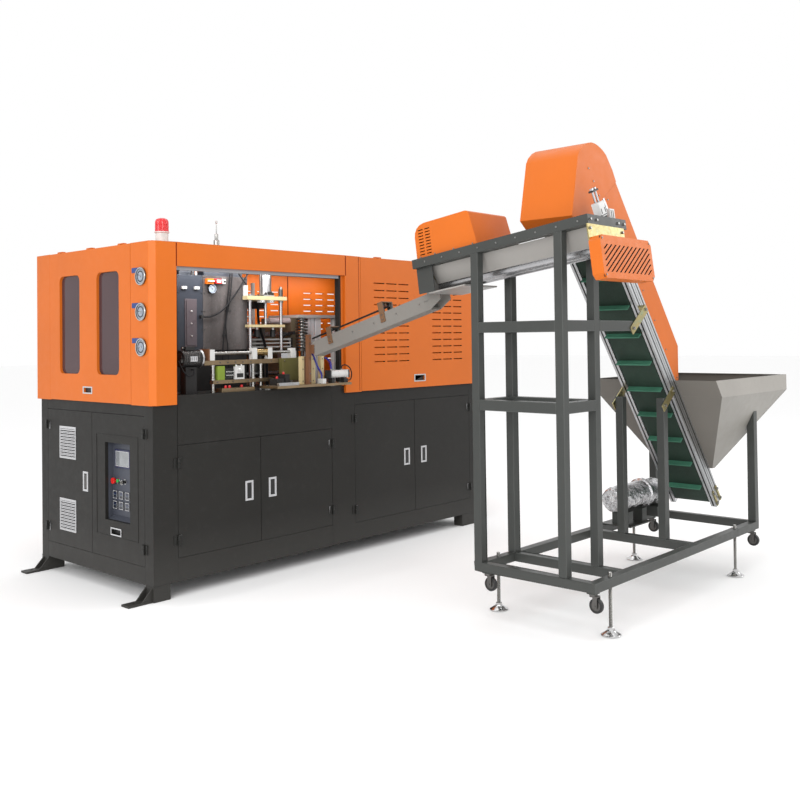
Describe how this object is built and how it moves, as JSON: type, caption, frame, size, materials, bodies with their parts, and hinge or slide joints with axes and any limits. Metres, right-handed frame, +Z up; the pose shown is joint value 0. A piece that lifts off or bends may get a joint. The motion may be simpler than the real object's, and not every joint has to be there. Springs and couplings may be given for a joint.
{
  "type": "blow moulding machine",
  "caption": "Hooded stretch blow moulding machine on a cabinet, fed by a free-standing loader with hopper, inclined cleated belt, sorting rollers and chute.",
  "frame": {"origin": "middle of the footprint on the floor", "axes": "+X to the right along the machine's front, +Y away from the operator through the machine, +Z up"},
  "size_m": [3.522, 3.8787, 2.572],
  "materials": {
    "orange_paint": "satin powder coat",
    "cabinet_paint": "textured dark olive-grey powder coat",
    "loader_paint": "dark green-grey paint",
    "light_paint": "light warm grey paint",
    "hopper_paint": "light grey paint",
    "oven_paint": "dark grey paint",
    "steel": "machined and brushed",
    "zinc": "yellow zinc plated",
    "chrome": "polished",
    "aluminium": "extruded, clear",
    "belt": "matt dark green",
    "black_plastic": "matt",
    "red_plastic": "gloss",
    "green_plastic": "gloss",
    "lens": "translucent red lens",
    "pane": "smoked pane",
    "foil": "crumpled foil wrap",
    "gauge": "bezel with pale dial",
    "hose_rubber": "matt black",
    "tread": "solid wheel"
  },
  "bodies": {
    "machine": {"machine_frame": "cabinet_paint", "anchor_feet": "cabinet_paint", "cabinet_panels": "cabinet_paint", "hood_panels": "orange_paint", "pressure_gauges": "gauge", "signal_beacon": "lens", "preheat_oven": "oven_paint", "clamp_frame": "steel", "transfer_unit": "steel", "air_hoses": "hose_rubber", "preform_chute": "light_paint", "loader_frame": "loader_paint", "sorter_table": "loader_paint", "sorter_trough": "light_paint", "loader_covers": "orange_paint", "elevator_rails": "aluminium", "elevator_belt": "belt", "strap_brackets": "zinc", "hopper": "hopper_paint", "blower_motor": "foil", "kicker_cylinder": "aluminium"},
    "end_window": {"end_window_panel": "orange_paint", "window_panes": "pane"},
    "louvred_front": {"louvre_panel": "orange_paint"},
    "end_door_far": {"end_door_left": "cabinet_paint"},
    "end_latch": {"end_door_latch": "black_plastic"},
    "end_door_near": {"end_door_right": "cabinet_paint", "control_panel": "steel"},
    "stop": {"stop_button": "red_plastic"},
    "start": {"start_button": "green_plastic"},
    "key": {"key_switch": "steel"},
    "selector": {"selector_switch": "black_plastic"},
    "crosshead": {"stretch_crosshead": "steel"},
    "platen": {"clamp_platen": "steel"},
    "carriage": {"transfer_carriage": "steel"},
    "roller_left": {"sorter_roller_left": "steel"},
    "roller_right": {"sorter_roller_right": "steel"},
    "drum_head": {"head_drum": "steel"},
    "drum_tail": {"tail_drum": "steel"},
    "kicker": {"kicker_rods": "chrome"},
    "front_door_body_1": {"front_door_1": "cabinet_paint"},
    "front_latch_body_1": {"front_latch_1": "black_plastic"},
    "front_door_body_2": {"front_door_2": "cabinet_paint"},
    "front_latch_body_2": {"front_latch_2": "black_plastic"},
    "front_door_body_3": {"front_door_3": "cabinet_paint"},
    "front_latch_body_3": {"front_latch_3": "black_plastic"},
    "front_door_body_4": {"front_door_4": "cabinet_paint"},
    "front_latch_body_4": {"front_latch_4": "black_plastic"},
    "caster_1": {"caster_fork_1": "chrome"},
    "wheel_1": {"caster_wheel_1": "tread"},
    "caster_2": {"caster_fork_2": "chrome"},
    "wheel_2": {"caster_wheel_2": "tread"},
    "caster_3": {"caster_fork_3": "chrome"},
    "wheel_3": {"caster_wheel_3": "tread"},
    "caster_4": {"caster_fork_4": "chrome"},
    "wheel_4": {"caster_wheel_4": "tread"},
    "foot_1": {"levelling_foot_1": "steel"},
    "foot_2": {"levelling_foot_2": "steel"},
    "foot_3": {"levelling_foot_3": "steel"},
    "foot_4": {"levelling_foot_4": "steel"}
  },
  "joints": [
    {"name": "end_window_lift", "type": "hinge", "parent": "machine", "child": "end_window", "pos_m": [-1.6145, 1.2494, 2.1245], "axis": [0, 1, 0], "range_deg": [0, 90]},
    {"name": "louvred_front_lift", "type": "hinge", "parent": "machine", "child": "louvred_front", "pos_m": [0.739, 0.5339, 2.1245], "axis": [-1, 0, 0], "range_deg": [0, 90]},
    {"name": "end_door_far_swing", "type": "hinge", "parent": "machine", "child": "end_door_far", "pos_m": [-1.615, 1.8284, 0.3], "axis": [0, 0, 1], "range_deg": [-110, 0]},
    {"name": "end_door_near_swing", "type": "hinge", "parent": "machine", "child": "end_door_near", "pos_m": [-1.615, 0.6344, 0.3], "axis": [0, 0, 1], "range_deg": [0, 110]},
    {"name": "front_door_swing_1", "type": "hinge", "parent": "machine", "child": "front_door_body_1", "pos_m": [-1.44, 0.5334, 0.3], "axis": [0, 0, 1], "range_deg": [-110, 0]},
    {"name": "front_latch_pull_1", "type": "hinge", "parent": "front_door_body_1", "child": "front_latch_body_1", "pos_m": [-0.913, 0.5434, 0.611], "axis": [-1, 0, 0], "range_deg": [0, 40], "stiffness_Nm_per_rad": 0.2},
    {"name": "front_door_swing_2", "type": "hinge", "parent": "machine", "child": "front_door_body_2", "pos_m": [-0.196, 0.5334, 0.3], "axis": [0, 0, 1], "range_deg": [0, 110]},
    {"name": "front_latch_pull_2", "type": "hinge", "parent": "front_door_body_2", "child": "front_latch_body_2", "pos_m": [-0.725, 0.5434, 0.611], "axis": [-1, 0, 0], "range_deg": [0, 40], "stiffness_Nm_per_rad": 0.2},
    {"name": "front_door_swing_3", "type": "hinge", "parent": "machine", "child": "front_door_body_3", "pos_m": [0.024, 0.5334, 0.3], "axis": [0, 0, 1], "range_deg": [-110, 0]},
    {"name": "front_latch_pull_3", "type": "hinge", "parent": "front_door_body_3", "child": "front_latch_body_3", "pos_m": [0.567, 0.5434, 0.676], "axis": [-1, 0, 0], "range_deg": [0, 40], "stiffness_Nm_per_rad": 0.2},
    {"name": "front_door_swing_4", "type": "hinge", "parent": "machine", "child": "front_door_body_4", "pos_m": [1.319, 0.5334, 0.3], "axis": [0, 0, 1], "range_deg": [0, 110]},
    {"name": "front_latch_pull_4", "type": "hinge", "parent": "front_door_body_4", "child": "front_latch_body_4", "pos_m": [0.758, 0.5434, 0.676], "axis": [-1, 0, 0], "range_deg": [0, 40], "stiffness_Nm_per_rad": 0.2},
    {"name": "end_latch_pull", "type": "hinge", "parent": "end_door_far", "child": "end_latch", "pos_m": [-1.605, 1.3259, 0.682], "axis": [0, 1, 0], "range_deg": [0, 40], "stiffness_Nm_per_rad": 0.2},
    {"name": "stop_press", "type": "slide", "parent": "end_door_near", "child": "stop", "axis": [1, 0, 0], "range_m": [0, 0.004], "stiffness_N_per_m": 1500, "springref_m": -0.002},
    {"name": "start_press", "type": "slide", "parent": "end_door_near", "child": "start", "axis": [1, 0, 0], "range_m": [0, 0.003], "stiffness_N_per_m": 900, "springref_m": -0.001},
    {"name": "key_turn", "type": "hinge", "parent": "end_door_near", "child": "key", "pos_m": [-1.556, 0.9824, 0.655], "axis": [1, 0, 0], "range_deg": [0, 90]},
    {"name": "selector_turn", "type": "hinge", "parent": "end_door_near", "child": "selector", "pos_m": [-1.556, 0.9424, 0.663], "axis": [1, 0, 0], "range_deg": [-45, 45]},
    {"name": "crosshead_stroke", "type": "slide", "parent": "machine", "child": "crosshead", "axis": [0, 0, 1], "range_m": [0, 0.11]},
    {"name": "platen_stroke", "type": "slide", "parent": "machine", "child": "platen", "axis": [-1, 0, 0], "range_m": [0, 0.06]},
    {"name": "carriage_stroke", "type": "slide", "parent": "machine", "child": "carriage", "axis": [1, 0, 0], "range_m": [-0.28, 0.15]},
    {"name": "roller_left_spin", "type": "hinge", "parent": "machine", "child": "roller_left", "pos_m": [-0.48, -1.84388, 1.97439], "axis": [0, 0.9914, -0.1305], "continuous": true},
    {"name": "roller_right_spin", "type": "hinge", "parent": "machine", "child": "roller_right", "pos_m": [-0.4, -1.84388, 1.97439], "axis": [0, 0.9914, -0.1305], "continuous": true},
    {"name": "head_drum_spin", "type": "hinge", "parent": "machine", "child": "drum_head", "pos_m": [-0.28697, -1.4706, 2.39535], "axis": [0, 1, 0], "continuous": true},
    {"name": "tail_drum_spin", "type": "hinge", "parent": "machine", "child": "drum_tail", "pos_m": [1.20515, -1.4706, 0.46477], "axis": [0, 1, 0], "continuous": true},
    {"name": "kicker_stroke", "type": "slide", "parent": "machine", "child": "kicker", "axis": [-0.342, 0.1227, 0.9317], "range_m": [0, 0.05]},
    {"name": "caster_swivel_1", "type": "hinge", "parent": "machine", "child": "caster_1", "pos_m": [-0.604, -1.8076, 0.24], "axis": [0, 0, 1], "continuous": true},
    {"name": "wheel_spin_1", "type": "hinge", "parent": "caster_1", "child": "wheel_1", "pos_m": [-0.604, -1.8256, 0.188], "axis": [1, 0, 0], "continuous": true},
    {"name": "caster_swivel_2", "type": "hinge", "parent": "machine", "child": "caster_2", "pos_m": [-0.604, -1.1476, 0.24], "axis": [0, 0, 1], "continuous": true},
    {"name": "wheel_spin_2", "type": "hinge", "parent": "caster_2", "child": "wheel_2", "pos_m": [-0.604, -1.1656, 0.188], "axis": [1, 0, 0], "continuous": true},
    {"name": "caster_swivel_3", "type": "hinge", "parent": "machine", "child": "caster_3", "pos_m": [1.319, -1.8106, 0.24], "axis": [0, 0, 1], "continuous": true},
    {"name": "wheel_spin_3", "type": "hinge", "parent": "caster_3", "child": "wheel_3", "pos_m": [1.319, -1.8286, 0.188], "axis": [1, 0, 0], "continuous": true},
    {"name": "caster_swivel_4", "type": "hinge", "parent": "machine", "child": "caster_4", "pos_m": [1.319, -1.0956, 0.24], "axis": [0, 0, 1], "continuous": true},
    {"name": "wheel_spin_4", "type": "hinge", "parent": "caster_4", "child": "wheel_4", "pos_m": [1.319, -1.1136, 0.188], "axis": [1, 0, 0], "continuous": true},
    {"name": "foot_screw_1", "type": "slide", "parent": "machine", "child": "foot_1", "axis": [0, 0, 1], "range_m": [-0.04, 0]},
    {"name": "foot_screw_2", "type": "slide", "parent": "machine", "child": "foot_2", "axis": [0, 0, 1], "range_m": [-0.04, 0]},
    {"name": "foot_screw_3", "type": "slide", "parent": "machine", "child": "foot_3", "axis": [0, 0, 1], "range_m": [-0.04, 0]},
    {"name": "foot_screw_4", "type": "slide", "parent": "machine", "child": "foot_4", "axis": [0, 0, 1], "range_m": [-0.04, 0]}
  ],
  "couplings": [
    {"joint": "roller_right_spin", "follows": "roller_left_spin", "ratio": -1},
    {"joint": "tail_drum_spin", "follows": "head_drum_spin", "ratio": 1}
  ]
}
